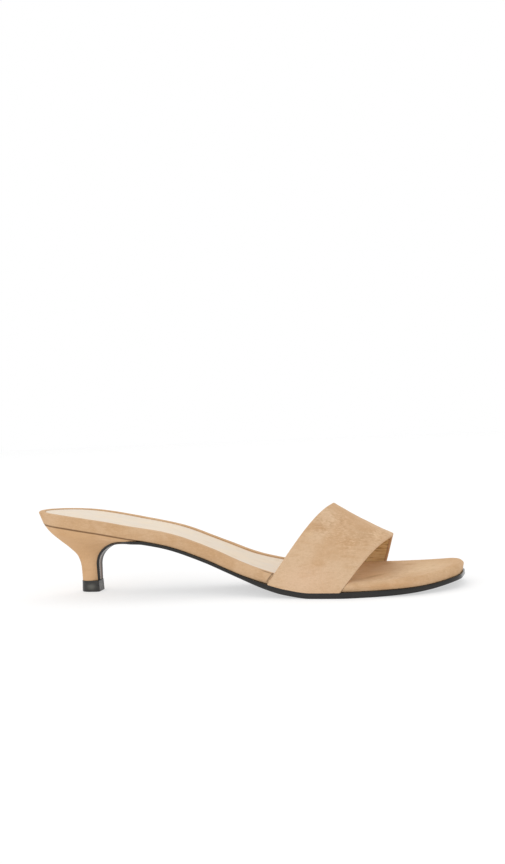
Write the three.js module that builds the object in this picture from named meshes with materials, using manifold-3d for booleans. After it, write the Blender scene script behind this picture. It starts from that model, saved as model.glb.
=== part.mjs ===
// Right-foot mule on a kitten heel: one wide suede strap over a suede-wrapped footbed.
// Millimetres. x runs from heel to toe, y towards the inner side of the foot, z up from the floor.

import * as THREE from "three";
import { mergeVertices } from "three/addons/utils/BufferGeometryUtils.js";
import Module from "manifold-3d";

const wasm = await Module();
wasm.setup();

// Driving dimensions of the last
const footbedLength = 250;
const seatWidth = 50;
const waistWidth = 39.4;
const ballWidth = 78;
const toeWidth = 41;
const heelHeight = 41.8;
const toeSpring = 3.8;
const toeSkew = 1;
const heelEnd = 40;
const lateralToeCorner = 27.5;
const medialToeCorner = 18;

// Footbed and sock
const seatThickness = 7.4;
const waistThickness = 6.8;
const ballThickness = 5.3;
const toeThickness = 6;
const backUndercut = 2.7;
const sideUndercut = 0.8;
const seatEdgeRadius = 0.9;
const toeEdgeRadius = 2.6;
const bottomEdgeRadius = 0.5;
const backRim = 3.7;
const sideRim = 4;
const sockThickness = 1;
const sockLength = 165;
const seatRecess = 0.4;
const waistRecess = 0.9;

// Outsole, with the flap that covers the breast of the heel
const soleThickness = 3.1;
const toeSoleThickness = 2.1;
const waistSoleThickness = 1.5;
const flapThickness = 1.3;
const soleMargin = 0.1;
const soleBevel = 0.35;
const soleEase = 15;
const flapStart = 70;
const flapFootWidth = 5.6;

// Heel and top lift
const breastFromBack = 35.3;
const tipLength = 10;
const tipWidth = 9.2;
const liftHeight = 6.4;
const liftMargin = 0.3;
const liftFlare = 0.2;

// Strap
const strapWall = 1.8;
const strapProud = 0.7;
const strapRise = 44.9;
const strapFrontRise = 25.6;
const crownOffset = 4;
const crownSag = 0.85;

// Running clearance between pieces
const gap = 0.3;

// Share of the arch over which the strap's edges round off at the crown
const crownEase = 0.05;

// Share of the length at which the toe's skew sets in
const toeSkewFrom = 0.85;

// Power with which the heel's sections take on the curve of its seat
const seatFollowing = 4;

// Rear face of the flap: its bend and lower handle as shares of the heel's height, its shoulder's
// handle as shares of the run from the flap's start back to the breast and of the heel's height
const breastCurve = { bend: 0.375, lowerHandle: 0.28, shoulderBack: 0.61, shoulderRise: 0.025 };

// Sections of the heel and lift: where the round back ends and how closely its points lie together,
// how sharply the front turns in and widens, and how much the lift's front corners are rounded
const backTurn = 0.5;
const backCrowding = 0.8;
const heelFrontTurn = 3;
const heelFrontWidening = 2;
const liftFrontTurn = 8;
const liftCorner = 0.16;

// Plan of the footbed: half widths at each section, as shares of the width that each row follows
const planSections = [
  { along: 0.0, width: seatWidth, lateral: 0.47, medial: 0.45 },
  { along: 0.12, width: seatWidth, lateral: 0.496, medial: 0.472 },
  { along: 0.24, width: seatWidth, lateral: 0.478, medial: 0.462 },
  { along: 0.4, width: waistWidth, lateral: 0.53, medial: 0.47 },
  { along: 0.48, width: waistWidth, lateral: 0.604, medial: 0.492 },
  { along: 0.56, width: ballWidth, lateral: 0.39, medial: 0.312 },
  { along: 0.62, width: ballWidth, lateral: 0.449, medial: 0.404 },
  { along: 0.69, width: ballWidth, lateral: 0.487, medial: 0.474 },
  { along: 0.74, width: ballWidth, lateral: 0.494, medial: 0.5 },
  { along: 0.8, width: ballWidth, lateral: 0.474, medial: 0.513 },
  { along: 0.865, width: ballWidth, lateral: 0.436, medial: 0.494 },
  { along: 0.905, width: ballWidth, lateral: 0.397, medial: 0.46 },
  { along: 0.945, width: toeWidth, lateral: 0.634, medial: 0.78 },
  { along: 1.0, width: toeWidth, lateral: 0.43, medial: 0.549 },
];

// Side profile of the footbed's underside: shares of the heel's rise and of the toe spring
const profileSections = [
  { along: 0.0, heel: 1.0, toe: 0.0 },
  { along: 0.08, heel: 0.96, toe: 0.0 },
  { along: 0.15, heel: 0.896, toe: 0.0 },
  { along: 0.233, heel: 0.792, toe: 0.0 },
  { along: 0.329, heel: 0.667, toe: 0.0 },
  { along: 0.426, heel: 0.441, toe: 0.0 },
  { along: 0.51, heel: 0.226, toe: 0.0 },
  { along: 0.582, heel: 0.1, toe: 0.0 },
  { along: 0.625, heel: 0.042, toe: 0.0 },
  { along: 0.68, heel: 0.0, toe: 0.0 },
  { along: 0.765, heel: 0.0, toe: 0.0 },
  { along: 0.855, heel: 0.0, toe: 0.11 },
  { along: 0.93, heel: 0.0, toe: 0.37 },
  { along: 1.0, heel: 0.0, toe: 1.0 },
];

// Wall heights, edges, rims and sole thickness along the shoe
const wallSections = [
  { along: 0.0, wall: seatThickness, edge: seatEdgeRadius, sole: waistSoleThickness },
  { along: 0.3, wall: 0.97 * seatThickness, edge: seatEdgeRadius, sole: waistSoleThickness },
  { along: 0.48, wall: waistThickness, edge: seatEdgeRadius, sole: waistSoleThickness },
  { along: 0.62, wall: 0.92 * waistThickness, edge: 0.7 * toeEdgeRadius, sole: soleThickness },
  { along: 0.8, wall: ballThickness, edge: toeEdgeRadius, sole: soleThickness },
  { along: 1.0, wall: toeThickness, edge: toeEdgeRadius, sole: toeSoleThickness },
];
const rimSections = [
  { along: 0.0, undercut: backUndercut, rim: backRim },
  { along: 0.06, undercut: 0.7 * backUndercut, rim: backRim },
  { along: 0.16, undercut: 1.5 * sideUndercut, rim: sideRim },
  { along: 0.36, undercut: sideUndercut, rim: sideRim },
  { along: 1.0, undercut: sideUndercut, rim: sideRim },
];

// Flap down the breast: share of its width that is left between its foot and its start
const flapSections = [
  { along: 0.0, flare: 1.0, thickness: waistSoleThickness },
  { along: 0.12, flare: 0.95, thickness: waistSoleThickness },
  { along: 0.23, flare: 0.8, thickness: flapThickness },
  { along: 0.36, flare: 0.5, thickness: flapThickness },
  { along: 0.48, flare: 0.26, thickness: flapThickness },
  { along: 0.6, flare: 0.11, thickness: flapThickness },
  { along: 0.75, flare: 0.045, thickness: flapThickness },
  { along: 1.0, flare: 0.0, thickness: flapThickness },
];

// Heel from its tip to its seat: how far its back has risen and gone back, where its front
// lies on the flap, and how much of the seat's width it has
const heelSections = [
  { along: 0.0, rise: 0.0, back: 0.0, flap: 1.0, spread: 0.0 },
  { along: 0.2, rise: 0.229, back: 0.01, flap: 0.83, spread: 0.01 },
  { along: 0.35, rise: 0.415, back: 0.088, flap: 0.7, spread: 0.1 },
  { along: 0.5, rise: 0.582, back: 0.325, flap: 0.59, spread: 0.29 },
  { along: 0.65, rise: 0.712, back: 0.57, flap: 0.48, spread: 0.51 },
  { along: 0.85, rise: 0.878, back: 0.845, flap: 0.32, spread: 0.83 },
  { along: 1.0, rise: 1.0, back: 1.0, flap: 0.08, spread: 1.0 },
];

// Strap across its breadth, from rear edge to front edge: where its feet and its crown lie along
// the footbed, and how its arch swings forward
const strapSections = [
  { along: 0.0, lateral: 0.5775, medial: 0.625, crown: 0.71, lean: 1.42, squareness: 2.3 },
  { along: 1.0, lateral: 0.747, medial: 0.802, crown: 0.8455, lean: 1.23, squareness: 2.39 },
];

// Numbers of steps in the faceted surfaces
const heelEndSteps = 9;
const toeEndSteps = 8;
const plainStep = 6;
const closestStep = 1.5;
const profileStep = 0.5;
const flapSteps = 22;
const heelLevels = 16;
const heelSideSteps = 12;
const archSteps = 18;
const strapSteps = 7;

// Squareness of the round ends of the plan: 2 is an ellipse
const heelRoundness = 2.05;
const toeEnds = {
  lateral: { reach: lateralToeCorner, roundness: 2.6 },
  medial: { reach: medialToeCorner, roundness: 4 },
};

// Smooth value of a column of a table at a place along it, with no overshoot between its rows
function follow(rows, column, along) {
  const last = rows.length - 1;
  const place = THREE.MathUtils.clamp(along, rows[0].along, rows[last].along);
  let i = 0;
  while (i < last - 1 && rows[i + 1].along < place) i++;
  const slope = (k) => (rows[k + 1][column] - rows[k][column]) / (rows[k + 1].along - rows[k].along);
  const tangent = (k) => {
    if (k === 0) return slope(0);
    if (k === last) return slope(last - 1);
    const [before, after] = [slope(k - 1), slope(k)];
    return before * after <= 0 ? 0 : (2 * before * after) / (before + after);
  };
  const span = rows[i + 1].along - rows[i].along;
  const t = (place - rows[i].along) / span;
  const rise = t * t * (3 - 2 * t);
  return (
    rows[i][column] * (1 - rise) +
    rows[i + 1][column] * rise +
    span * t * (1 - t) * (tangent(i) * (1 - t) - tangent(i + 1) * t)
  );
}

const halfWidths = planSections.map(({ along, width, lateral, medial }) => ({
  along,
  lateral: width * lateral,
  medial: width * medial,
}));
const sides = { lateral: -1, medial: 1 };
const alongOf = (x) => x / footbedLength;
const halfWidth = (x, side) => follow(halfWidths, side, alongOf(x));
const wallHeight = (x) => follow(wallSections, "wall", alongOf(x));
const soleUnder = (x) => follow(wallSections, "sole", alongOf(x));

// Height of the footbed's underside over the floor, and the upward normal of its profile
const ballUnderside = soleThickness + gap;
function underside(x) {
  const heelRise = follow(profileSections, "heel", alongOf(x)) * (heelHeight - ballUnderside);
  return ballUnderside + heelRise + follow(profileSections, "toe", alongOf(x)) * toeSpring;
}
function profileNormal(x) {
  const slope = (underside(x + profileStep) - underside(x - profileStep)) / (2 * profileStep);
  return new THREE.Vector2(-slope, 1).normalize();
}

// Point at a height square to the underside
function onProfile(x, y, height) {
  const normal = profileNormal(THREE.MathUtils.clamp(x, 0, footbedLength));
  return new THREE.Vector3(x + normal.x * height, y, underside(x) + normal.y * height);
}

// Share of the half width that the round ends of the plan leave at a place
function roundEnds(x, side) {
  const cap = (run, roundness) => (1 - THREE.MathUtils.clamp(1 - run, 0, 1) ** roundness) ** (1 / roundness);
  const { reach, roundness } = toeEnds[side];
  return cap(x / heelEnd, heelRoundness) * cap((footbedLength - x) / reach, roundness);
}

// Places of the sections between two places, closer together on the round ends
function stations(from, to, extra = []) {
  const turns = (steps) => Array.from({ length: steps }, (_, i) => ((i / steps) * Math.PI) / 2);
  const { reach, roundness } = toeEnds.medial;
  const heelPlaces = turns(heelEndSteps).map((turn) => heelEnd * (1 - Math.cos(turn) ** (2 / heelRoundness)));
  const toePlaces = turns(toeEndSteps).map(
    (turn) => footbedLength - reach * (1 - Math.cos(turn) ** (2 / roundness)),
  );
  const plainLength = footbedLength - heelEnd - reach;
  const plainSteps = Math.round(plainLength / plainStep);
  const plainPlaces = Array.from(
    { length: plainSteps + 1 },
    (_, i) => heelEnd + (plainLength * i) / plainSteps,
  );
  const kept = [...heelPlaces, ...plainPlaces, ...toePlaces].filter(
    (x) => x >= from && x <= to && extra.every((place) => Math.abs(place - x) > closestStep),
  );
  return [...kept, ...extra].sort((a, b) => a - b);
}

// Plan points and outward normals of one side at each station
function planSide(list, side) {
  const sign = sides[side];
  const points = list.map((x) => {
    const y = sign * roundEnds(x, side) * halfWidth(x, side);
    const toeShare = THREE.MathUtils.smoothstep(alongOf(x), toeSkewFrom, 1);
    return new THREE.Vector2(x + (toeSkew * toeShare * 2 * y) / toeWidth, y);
  });
  const last = points.length - 1;
  return points.map((point, i) => {
    if (point.y === 0) return { point, normal: new THREE.Vector2(i === 0 ? -1 : 1, 0) };
    const along = points[Math.min(i + 1, last)].clone().sub(points[Math.max(i - 1, 0)]);
    const normal = new THREE.Vector2(-along.y * sign, along.x * sign).normalize();
    return { point, normal };
  });
}

// Sections across the shoe: each ring is an inset from the plan and a height over the underside
function plateSections(list, rings) {
  const ringPoint = ({ point, normal }, station, { inset, height }) => {
    const moved = point.clone().addScaledVector(normal, -inset(station));
    return onProfile(moved.x, moved.y, height(station));
  };
  const lateral = planSide(list, "lateral");
  const medial = planSide(list, "medial");
  return list.map((station, i) => [
    ...rings.map((ring) => ringPoint(lateral[i], station, ring)),
    ...rings.map((ring) => ringPoint(medial[i], station, ring)).reverse(),
  ]);
}

// Closed body through a row of sections, each a loop that folds flat to close the ends
function loft(sections) {
  const count = sections[0].length;
  const positions = sections.flat().flatMap(({ x, y, z }) => [x, y, z]);
  const faces = [];
  const quad = (a, b, c, d) => faces.push(a, b, c, a, c, d);
  for (let i = 0; i + 1 < sections.length; i++) {
    for (let k = 0; k < count; k++) {
      const next = (k + 1) % count;
      quad(i * count + k, i * count + next, (i + 1) * count + next, (i + 1) * count + k);
    }
  }
  const lastStart = (sections.length - 1) * count;
  for (let k = 0; k + 1 < count / 2; k++) {
    const [a, b, c, d] = [k, k + 1, count - 2 - k, count - 1 - k];
    quad(d, c, b, a);
    quad(lastStart + a, lastStart + b, lastStart + c, lastStart + d);
  }
  const raw = new THREE.BufferGeometry();
  raw.setAttribute("position", new THREE.Float32BufferAttribute(positions, 3));
  raw.setIndex(faces);
  return facingOut(mergeVertices(raw, 1e-3));
}

// Drops the faces that a folded end leaves without area, and turns all faces outwards
function facingOut(geometry) {
  const index = geometry.index.array;
  const at = (k) => new THREE.Vector3().fromBufferAttribute(geometry.attributes.position, k);
  const kept = [];
  let volume = 0;
  for (let i = 0; i < index.length; i += 3) {
    const [a, b, c] = index.slice(i, i + 3);
    if (a === b || b === c || c === a) continue;
    kept.push([a, b, c]);
    volume += at(a).dot(at(b).cross(at(c)));
  }
  geometry.setIndex(kept.flatMap(([a, b, c]) => (volume > 0 ? [a, b, c] : [a, c, b])));
  return geometry;
}

// Solid for a cut, and the geometry that a cut leaves
function solidOf(geometry) {
  return new wasm.Manifold(
    new wasm.Mesh({
      numProp: 3,
      vertProperties: new Float32Array(geometry.attributes.position.array),
      triVerts: new Uint32Array(geometry.index.array),
    }),
  );
}
function geometryOf(solid) {
  const { vertProperties, triVerts } = solid.getMesh();
  const geometry = new THREE.BufferGeometry();
  geometry.setAttribute("position", new THREE.Float32BufferAttribute(vertProperties, 3));
  geometry.setIndex([...triVerts]);
  return geometry;
}

// Footbed: rounded wall, flat rim and the pocket that the sock lies in
const sockRecess = (x) => THREE.MathUtils.lerp(seatRecess, waistRecess, x / sockLength);
const pocketEnd = sockLength + gap;
const pocketRamp = sockThickness;
function pocketDepth(x) {
  const share = 1 - THREE.MathUtils.clamp((x - pocketEnd) / pocketRamp, 0, 1);
  return share * (sockRecess(Math.min(x, sockLength)) + sockThickness + gap);
}
const undercut = (x) => follow(rimSections, "undercut", alongOf(x));
const rimWidth = (x) => follow(rimSections, "rim", alongOf(x));
const edgeRadius = (x) => follow(wallSections, "edge", alongOf(x));

function footbedBody() {
  const bottomTurns = [0, 45, 90].map(THREE.MathUtils.degToRad);
  const topTurns = [0, 30, 60, 90].map(THREE.MathUtils.degToRad);
  const rings = [
    ...bottomTurns.map((turn) => ({
      inset: (x) => undercut(x) + bottomEdgeRadius * (1 - Math.sin(turn)),
      height: () => bottomEdgeRadius * (1 - Math.cos(turn)),
    })),
    ...topTurns.map((turn) => ({
      inset: (x) => edgeRadius(x) * (1 - Math.cos(turn)),
      height: (x) => wallHeight(x) - edgeRadius(x) * (1 - Math.sin(turn)),
    })),
    { inset: rimWidth, height: wallHeight },
    { inset: rimWidth, height: (x) => wallHeight(x) - pocketDepth(x) },
  ];
  const extra = [pocketEnd, pocketEnd + pocketRamp];
  return loft(plateSections(stations(0, footbedLength, extra), rings));
}

function sock() {
  const inset = (x) => rimWidth(x) + gap;
  const top = (x) => wallHeight(x) - sockRecess(x);
  const rings = [
    { inset, height: (x) => top(x) - sockThickness },
    { inset, height: top },
  ];
  return loft(plateSections(stations(0, sockLength, [sockLength]), rings));
}

// Rear face of the flap: a curve from under the footbed round to a straight line down the breast
const tipFloor = liftHeight + gap;
const breastTop = onProfile(flapStart, 0, -gap);
const breastBend = new THREE.Vector3(breastFromBack, 0, breastCurve.bend * heelHeight);
const breastShoulder = new THREE.Vector3(
  THREE.MathUtils.lerp(breastTop.x, breastFromBack, breastCurve.shoulderBack),
  0,
  breastTop.z + breastCurve.shoulderRise * heelHeight,
);
const breastHandle = new THREE.Vector3(
  breastFromBack,
  0,
  breastBend.z + breastCurve.lowerHandle * heelHeight,
);
const flapCurve = new THREE.CurvePath();
flapCurve.add(new THREE.CubicBezierCurve3(breastTop, breastShoulder, breastHandle, breastBend));
flapCurve.add(new THREE.LineCurve3(breastBend, new THREE.Vector3(breastFromBack, 0, tipFloor)));

// Point on the flap's rear face and its normal towards the toe and the floor
function onFlap(share) {
  const point = flapCurve.getPointAt(share);
  const tangent = flapCurve.getTangentAt(share);
  return { point, normal: new THREE.Vector3(-tangent.z, 0, tangent.x) };
}
function flapHalf(share, side) {
  const foot = flapFootWidth / 2;
  const start = halfWidth(flapStart, side) + soleMargin;
  return foot + (start - foot) * follow(flapSections, "flare", share);
}

// Margin of the sole past the plan: wider where it carries the foot of the strap
function soleReach(x, side) {
  const [rear, front] = strapSections.map((row) => row[side] * footbedLength);
  const widening = THREE.MathUtils.smoothstep(x, rear - soleEase, rear);
  const narrowing = THREE.MathUtils.smoothstep(x, front, front + soleEase);
  const share = widening * (1 - narrowing);
  return soleMargin + share * (strapProud - soleMargin);
}

function outsole() {
  const edges = [
    { tuck: 0, depth: () => 0 },
    { tuck: 0, depth: (thickness) => thickness - soleBevel },
    { tuck: soleBevel, depth: (thickness) => thickness },
  ];
  const flap = [];
  for (let i = flapSteps; i > 0; i--) {
    const share = i / flapSteps;
    const { point, normal } = onFlap(share);
    const thickness = follow(flapSections, "thickness", share);
    const edge = (side, { tuck, depth }) => {
      const corner = point.clone().addScaledVector(normal, depth(thickness));
      corner.y = sides[side] * (flapHalf(share, side) - tuck);
      return corner;
    };
    flap.push([
      ...edges.map((row) => edge("lateral", row)),
      ...edges.map((row) => edge("medial", row)).reverse(),
    ]);
  }
  const list = stations(flapStart, footbedLength, [flapStart]);
  const under = ["lateral", "medial"].map((side) =>
    plateSections(
      list,
      edges.map(({ tuck, depth }) => ({
        inset: (x) => tuck - soleReach(x, side),
        height: (x) => -gap - depth(soleUnder(x)),
      })),
    ),
  );
  const half = edges.length;
  const joined = list.map((_, i) => [...under[0][i].slice(0, half), ...under[1][i].slice(half)]);
  return loft([...flap, ...joined]);
}

// Share of the half width that a section with a round back and a turned-in front has along it
function sectionShape(share, frontShare, frontTurn) {
  if (share < backTurn) return Math.sqrt(1 - (1 - share / backTurn) ** 2);
  return 1 - (1 - frontShare) * ((share - backTurn) / (1 - backTurn)) ** frontTurn;
}

// Places along such a section, closer together round its back
const sectionShares = Array.from({ length: heelSideSteps + 1 }, (_, i) => {
  const turn = ((i / heelSideSteps) * Math.PI) / 2;
  return THREE.MathUtils.lerp(i / heelSideSteps, 1 - Math.cos(turn), backCrowding);
});

// Half width of the heel's seat, inside the footbed's rounded lower edge
const seatBack = backUndercut + bottomEdgeRadius;
function seatHalf(x, side) {
  const past = Math.max(((x - seatBack) / (heelEnd - seatBack)) * heelEnd, 0);
  return roundEnds(past, side) * (halfWidth(x, side) - undercut(x) - bottomEdgeRadius);
}

// One section of the heel: its back, its front on the flap, and its side at a share of the way
function heelSection(level) {
  const row = (column) => follow(heelSections, column, level);
  const tipBack = breastFromBack - gap - tipLength;
  const { point, normal } = onFlap(row("flap"));
  const front = point.clone().addScaledVector(normal, -gap);
  const back = new THREE.Vector3(
    THREE.MathUtils.lerp(tipBack, seatBack, row("back")),
    0,
    THREE.MathUtils.lerp(tipFloor, underside(seatBack) - gap, row("rise")),
  );
  const side = (name) => {
    const widen = (tip, seat) => THREE.MathUtils.lerp(tip, seat, row("spread"));
    const frontPlain = widen(flapFootWidth / 2, seatHalf(flapStart, name));
    const frontHalf = Math.min(flapHalf(row("flap"), name) - soleMargin, frontPlain);
    return sectionShares.map((share) => {
      const on = back.clone().lerp(front, share);
      const seat = underside(on.x) - gap;
      on.z = level === 1 ? seat : THREE.MathUtils.lerp(on.z, Math.min(seat, on.z), level ** seatFollowing);
      const tipHalf = (tipWidth / 2) * sectionShape(share, flapFootWidth / tipWidth, heelFrontTurn);
      const plain = widen(tipHalf, seatHalf(THREE.MathUtils.lerp(seatBack, flapStart, share), name));
      const past = THREE.MathUtils.clamp((share - backTurn) / (1 - backTurn), 0, 1);
      on.y = sides[name] * (plain - (frontPlain - frontHalf) * past ** heelFrontWidening);
      return on;
    });
  };
  return [...side("lateral"), ...side("medial").reverse()];
}
function heel() {
  return loft(Array.from({ length: heelLevels + 1 }, (_, i) => heelSection(i / heelLevels)));
}

// One level of the top lift, which flares a little towards the floor
function liftSection(height, flare) {
  const front = breastFromBack + flapThickness - liftMargin + flare;
  const back = breastFromBack - gap - tipLength - liftMargin - flare;
  const half = tipWidth / 2 + liftMargin + flare;
  const side = (sign) =>
    sectionShares.map((share) => {
      const y = sign * half * sectionShape(share, 1 - liftCorner, liftFrontTurn);
      return new THREE.Vector3(THREE.MathUtils.lerp(back, front, share), y, height);
    });
  return [...side(-1), ...side(1).reverse()];
}
function topLift() {
  return loft([liftSection(0, liftFlare), liftSection(liftHeight, 0)]);
}

// Outer face of the strap: turn runs over the arch from -1, the lateral foot, to 1, the medial foot;
// across runs from 0, the rear edge, to 1, the front edge
function onStrap(turn, across) {
  const side = turn < 0 ? "lateral" : "medial";
  const climb = 1 - Math.abs(turn);
  const row = (column) => {
    const [rear, front] = strapSections;
    return THREE.MathUtils.lerp(rear[column], front[column], across);
  };
  const footX = row(side) * footbedLength;
  const footY = sides[side] * (halfWidth(footX, side) + strapProud);
  const foot = new THREE.Vector3(footX, footY, underside(footX));
  const sag = 4 * crownSag * across * (1 - across);
  const crown = new THREE.Vector3(
    row("crown") * footbedLength,
    crownOffset,
    ballUnderside + THREE.MathUtils.lerp(strapRise, strapFrontRise, across) - sag,
  );
  const angle = (climb * Math.PI) / 2;
  const ease = (value) => Math.hypot(value, crownEase) ** row("lean") - crownEase ** row("lean");
  const power = 2 / row("squareness");
  return new THREE.Vector3(
    foot.x + (crown.x - foot.x) * (1 - ease(1 - climb) / ease(1)),
    crown.y + (foot.y - crown.y) * Math.cos(angle) ** power,
    foot.z + (crown.z - foot.z) * Math.sin(angle),
  );
}
function strapNormal(turn, across) {
  const step = 1e-3;
  const centre = THREE.MathUtils.clamp(turn, step - 1, 1 - step);
  const over = onStrap(centre + step, across).sub(onStrap(centre - step, across));
  const forward = onStrap(centre, across + step).sub(onStrap(centre, across - step));
  return forward.cross(over).normalize();
}

// Strap as a wall: out and in are its faces' offsets, reach widens its edges, below lowers its feet
function strapWallBody({ out, inwards, reach, below }) {
  const sections = [];
  const breadth = (strapSections[1].lateral - strapSections[0].lateral) * footbedLength;
  const spare = reach / breadth;
  const places = Array.from({ length: strapSteps + 1 }, (_, i) =>
    THREE.MathUtils.lerp(-spare, 1 + spare, i / strapSteps),
  );
  for (let i = -archSteps; i <= archSteps; i++) {
    const turn = i / archSteps;
    const face = (offset) =>
      places.map((across) => onStrap(turn, across).addScaledVector(strapNormal(turn, across), offset));
    sections.push([...face(out), ...face(-inwards).reverse()]);
  }
  const seated = (section, drop) => section.map(({ x, y }) => new THREE.Vector3(x, y, underside(x) - drop));
  const last = sections.length - 1;
  sections[0] = seated(sections[0], 0);
  sections[last] = seated(sections[last], 0);
  if (below > 0) {
    sections.unshift(seated(sections[0], below));
    sections.push(seated(sections[last + 1], below));
  }
  return loft(sections);
}
const upper = () => strapWallBody({ out: 0, inwards: strapWall, reach: 0, below: 0 });

// Footbed with the strap's feet let into its wall
function footbed() {
  const notch = strapWallBody({ out: strapWall, inwards: strapWall + gap, reach: gap, below: strapWall });
  return geometryOf(solidOf(footbedBody()).subtract(solidOf(notch)));
}

const suede = { color: 0xd2ac83, roughness: 0.95, metalness: 0 };
const pieces = {
  outsole: [outsole(), { color: 0x1d1a19, roughness: 0.45, metalness: 0 }],
  footbed: [footbed(), suede],
  upper: [upper(), suede],
  sock: [sock(), { color: 0xeadfc9, roughness: 0.6, metalness: 0 }],
  heel: [heel(), suede],
  top_lift: [topLift(), { color: 0x2b2826, roughness: 0.5, metalness: 0 }],
};

// The part's origin is under the middle of its bounding box, on the floor
const mule = new THREE.Group();
for (const [name, [geometry, look]] of Object.entries(pieces)) {
  geometry.computeVertexNormals();
  const mesh = new THREE.Mesh(geometry, new THREE.MeshStandardMaterial(look));
  mesh.name = name;
  mule.add(mesh);
}
const box = new THREE.Box3().setFromObject(mule);
const middle = box.getCenter(new THREE.Vector3());
for (const mesh of mule.children) mesh.position.set(-middle.x, -middle.y, -box.min.z);

export default mule;
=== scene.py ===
# Right-foot mule on a kitten heel: the looks of its suede, leather, painted sole and rubber.
# Lengths are millimetres in the shoe's own frame, as in the part: x from heel to toe, y towards
# the inner side of the foot, z up. Every piece is shifted to the part's origin and made in metres.

import math

import bmesh
import bpy
import numpy as np
from mathutils import Matrix, Vector, noise


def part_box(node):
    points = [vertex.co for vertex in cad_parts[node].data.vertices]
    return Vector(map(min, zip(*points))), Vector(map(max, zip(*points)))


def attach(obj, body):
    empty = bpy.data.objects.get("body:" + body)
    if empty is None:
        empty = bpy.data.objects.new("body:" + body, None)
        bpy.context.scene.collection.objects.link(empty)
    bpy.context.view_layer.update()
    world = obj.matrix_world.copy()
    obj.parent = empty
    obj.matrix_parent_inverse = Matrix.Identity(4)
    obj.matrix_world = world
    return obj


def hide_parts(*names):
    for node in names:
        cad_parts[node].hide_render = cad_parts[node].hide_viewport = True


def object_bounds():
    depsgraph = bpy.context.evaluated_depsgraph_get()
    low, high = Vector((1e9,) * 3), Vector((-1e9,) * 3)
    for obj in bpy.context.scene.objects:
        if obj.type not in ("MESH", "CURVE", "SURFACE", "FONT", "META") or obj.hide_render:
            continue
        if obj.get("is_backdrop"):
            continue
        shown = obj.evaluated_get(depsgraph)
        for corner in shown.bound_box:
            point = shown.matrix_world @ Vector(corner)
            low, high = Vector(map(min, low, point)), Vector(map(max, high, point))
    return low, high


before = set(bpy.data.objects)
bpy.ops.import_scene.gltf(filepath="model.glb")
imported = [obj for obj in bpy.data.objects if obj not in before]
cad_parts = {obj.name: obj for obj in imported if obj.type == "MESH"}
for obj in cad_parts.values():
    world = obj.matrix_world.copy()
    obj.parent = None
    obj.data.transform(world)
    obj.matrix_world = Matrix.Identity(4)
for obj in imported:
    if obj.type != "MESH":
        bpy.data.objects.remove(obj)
cad_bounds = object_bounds()

MM = 0.001

# Image and camera, fitted to the photograph
IMAGE_SIZE = (505, 864)
FOCAL_PIXELS = 1372.8
AIM_PIXEL = (252.0, 554.9)
CAMERA_TARGET = (129.3, 0, 19.5)
CAMERA_DISTANCE = 800
CAMERA_YAW = 13.37
CAMERA_ELEVATION = 7.92
CAMERA_ROLL = -3.02
SENSOR_HEIGHT = 36

# Driving dimensions of the last
FOOTBED_LENGTH = 250
SEAT_WIDTH = 50
WAIST_WIDTH = 39.4
BALL_WIDTH = 78
TOE_WIDTH = 41
HEEL_HEIGHT = 41.8
TOE_SPRING = 3.8
TOE_SKEW = 1
TOE_SKEW_FROM = 0.85
HEEL_END = 40
LATERAL_TOE_CORNER = 27.5
MEDIAL_TOE_CORNER = 18

# Footbed and sock
SEAT_THICKNESS = 7.4
WAIST_THICKNESS = 6.8
BALL_THICKNESS = 5.3
TOE_THICKNESS = 6
BACK_UNDERCUT = 2.7
SIDE_UNDERCUT = 0.8
SEAT_EDGE_RADIUS = 0.9
TOE_EDGE_RADIUS = 2.6
BOTTOM_EDGE_RADIUS = 0.5
BACK_RIM = 3.7
SIDE_RIM = 4
SOCK_THICKNESS = 1
SOCK_LENGTH = 165
SEAT_RECESS = 0.4
WAIST_RECESS = 0.9

# Outsole and flap
SOLE_THICKNESS = 3.1
TOE_SOLE_THICKNESS = 2.1
WAIST_SOLE_THICKNESS = 1.5
FLAP_THICKNESS = 1.3
SOLE_MARGIN = 0.1
SOLE_BEVEL = 0.35
SOLE_EASE = 15
FLAP_START = 70
FLAP_FOOT_WIDTH = 5.6

# Heel and top lift
BREAST_FROM_BACK = 35.3
TIP_LENGTH = 10
TIP_WIDTH = 9.2
LIFT_HEIGHT = 6.4
LIFT_MARGIN = 0.3
LIFT_FLARE = 0.2

# Strap
STRAP_WALL = 1.8
STRAP_PROUD = 0.7
STRAP_RISE = 44.9
STRAP_FRONT_RISE = 25.6
CROWN_OFFSET = 4
CROWN_SAG = 0.85
CROWN_EASE = 0.05

# Clearance between the solids, and the tighter one between the dressed pieces
GAP = 0.3
SEAM = 0.08


def rows(names, *values):
    """Short table with named columns, one row for each section"""
    return dict(zip(names.split(), np.array(values, float).T))


PLAN = rows(
    "along lateral medial",
    (0.0, 0.47 * SEAT_WIDTH, 0.45 * SEAT_WIDTH),
    (0.12, 0.496 * SEAT_WIDTH, 0.472 * SEAT_WIDTH),
    (0.24, 0.478 * SEAT_WIDTH, 0.462 * SEAT_WIDTH),
    (0.4, 0.53 * WAIST_WIDTH, 0.47 * WAIST_WIDTH),
    (0.48, 0.604 * WAIST_WIDTH, 0.492 * WAIST_WIDTH),
    (0.56, 0.39 * BALL_WIDTH, 0.312 * BALL_WIDTH),
    (0.62, 0.449 * BALL_WIDTH, 0.404 * BALL_WIDTH),
    (0.69, 0.487 * BALL_WIDTH, 0.474 * BALL_WIDTH),
    (0.74, 0.494 * BALL_WIDTH, 0.5 * BALL_WIDTH),
    (0.8, 0.474 * BALL_WIDTH, 0.513 * BALL_WIDTH),
    (0.865, 0.436 * BALL_WIDTH, 0.494 * BALL_WIDTH),
    (0.905, 0.397 * BALL_WIDTH, 0.46 * BALL_WIDTH),
    (0.945, 0.634 * TOE_WIDTH, 0.78 * TOE_WIDTH),
    (1.0, 0.43 * TOE_WIDTH, 0.549 * TOE_WIDTH),
)
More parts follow.
